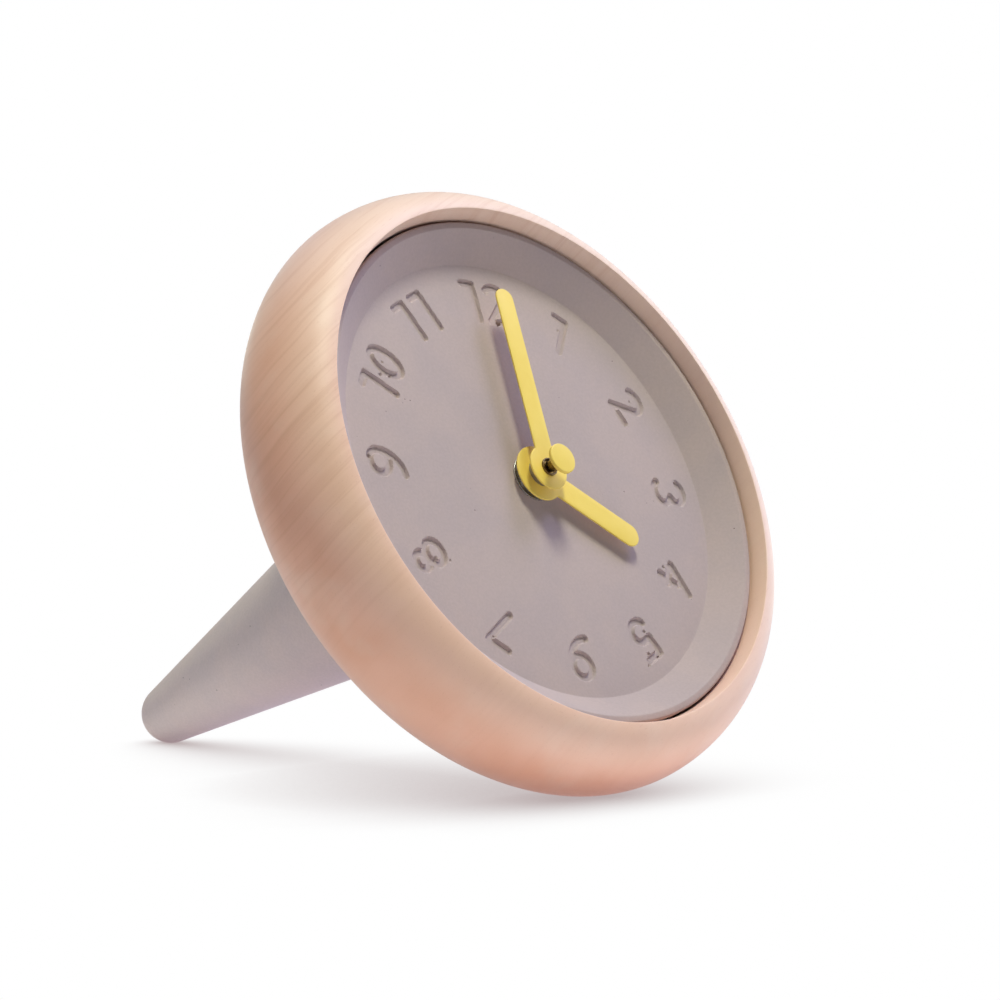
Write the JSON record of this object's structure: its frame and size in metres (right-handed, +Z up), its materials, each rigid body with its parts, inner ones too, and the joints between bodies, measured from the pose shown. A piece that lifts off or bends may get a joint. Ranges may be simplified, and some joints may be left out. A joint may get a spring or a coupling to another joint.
{
  "type": "desk clock",
  "caption": "Desk clock shaped like a spinning top: a turned wood ring around a dished concrete dial, with a concrete cone behind that it leans back on.",
  "frame": {"origin": "middle of the footprint of the clock's bounding box, on the table it rests on", "axes": "+Z up, +Y from the dial towards the cone's tip, +X to the right as the dial is read"},
  "size_m": [0.16, 0.1826, 0.147],
  "materials": {
    "turned_wood": "fine-sanded pale hardwood with a matte oil finish",
    "cast_concrete": "smooth cast concrete, matte, mauve-grey with small air bubbles",
    "yellow_paint": "satin pale yellow lacquer on stamped sheet",
    "turned_brass": "turned, bare",
    "nickel_steel": "nickel-plated, turned",
    "grey_collar": "dark grey plated brass",
    "magnet_nickel": "nickel-plated sintered magnet",
    "black_rubber": "matte black",
    "black_abs": "injection-moulded, fine texture",
    "white_acetal": "moulded natural acetal",
    "motor_iron": "stamped soft iron",
    "copper_wire": "enamelled copper wire, wound",
    "green_board": "solder mask on glass-fibre laminate",
    "black_epoxy": "cured epoxy drop",
    "crystal_can": "drawn can, tinned",
    "cell_wrap": "printed plastic sleeve, no text"
  },
  "bodies": {
    "cone": {"concrete_cone": "cast_concrete", "cone_steel_discs": "nickel_steel"},
    "clock_head": {"wood_ring": "turned_wood", "ring_magnets": "magnet_nickel", "concrete_dial": "cast_concrete", "rubber_gasket": "black_rubber", "threaded_bush": "turned_brass", "dial_washer": "nickel_steel", "hex_nut": "nickel_steel", "movement_front_case": "black_abs", "movement_back_case": "black_abs", "middle_plate": "black_abs", "train_bridge": "black_abs", "stator": "motor_iron", "coil_core": "motor_iron", "coil_bobbin": "white_acetal", "coil_winding": "copper_wire", "circuit_board": "green_board", "circuit_chip": "black_epoxy", "quartz_crystal": "crystal_can", "positive_contact": "nickel_steel", "negative_contact": "nickel_steel", "battery_cell": "cell_wrap"},
    "minute_group": {"minute_hand": "yellow_paint", "minute_hand_collar": "turned_brass", "minute_pipe": "turned_brass", "clutch_spring": "nickel_steel"},
    "hour_group": {"hour_hand": "yellow_paint", "hour_hand_collar": "grey_collar", "hour_wheel": "white_acetal"},
    "motion_group": {"motion_work_wheel": "white_acetal", "setting_knob": "white_acetal"},
    "seconds_group": {"seconds_wheel": "white_acetal", "seconds_cap": "yellow_paint"},
    "third_group": {"third_wheel": "white_acetal"},
    "centre_group": {"centre_wheel": "white_acetal"},
    "intermediate_group": {"intermediate_wheel": "white_acetal"},
    "rotor_group": {"rotor": "white_acetal", "rotor_magnet": "magnet_nickel"}
  },
  "joints": [
    {"name": "head_lift", "type": "slide", "parent": "cone", "child": "clock_head", "axis": [0, -0.8894, 0.4571], "range_m": [0, 0.05]},
    {"name": "minute_turn", "type": "hinge", "parent": "clock_head", "child": "minute_group", "pos_m": [0, -0.04148, 0.07211], "axis": [0, 0.8894, -0.4571], "continuous": true},
    {"name": "hour_turn", "type": "hinge", "parent": "clock_head", "child": "hour_group", "pos_m": [0, -0.04148, 0.07211], "axis": [0, 0.8894, -0.4571], "continuous": true},
    {"name": "motion_turn", "type": "hinge", "parent": "clock_head", "child": "motion_group", "pos_m": [0.01159, -0.04171, 0.07166], "axis": [0, 0.8894, -0.4571], "continuous": true},
    {"name": "seconds_turn", "type": "hinge", "parent": "clock_head", "child": "seconds_group", "pos_m": [0, -0.04148, 0.07211], "axis": [0, 0.8894, -0.4571], "continuous": true},
    {"name": "third_turn", "type": "hinge", "parent": "clock_head", "child": "third_group", "pos_m": [0.00444, -0.03658, 0.08164], "axis": [0, 0.8894, -0.4571], "continuous": true},
    {"name": "centre_turn", "type": "hinge", "parent": "clock_head", "child": "centre_group", "pos_m": [0, -0.04148, 0.07211], "axis": [0, 0.8894, -0.4571], "continuous": true},
    {"name": "intermediate_turn", "type": "hinge", "parent": "clock_head", "child": "intermediate_group", "pos_m": [-0.00745, -0.0397, 0.07556], "axis": [0, 0.8894, -0.4571], "continuous": true},
    {"name": "rotor_turn", "type": "hinge", "parent": "clock_head", "child": "rotor_group", "pos_m": [-0.01412, -0.03737, 0.08011], "axis": [0, 0.8894, -0.4571], "continuous": true}
  ],
  "couplings": [
    {"joint": "hour_turn", "follows": "minute_turn", "ratio": 0.083333},
    {"joint": "motion_turn", "follows": "minute_turn", "ratio": -0.33333},
    {"joint": "third_turn", "follows": "seconds_turn", "ratio": -0.13333},
    {"joint": "centre_turn", "follows": "seconds_turn", "ratio": 0.016667},
    {"joint": "intermediate_turn", "follows": "seconds_turn", "ratio": -5},
    {"joint": "rotor_turn", "follows": "seconds_turn", "ratio": 30}
  ]
}
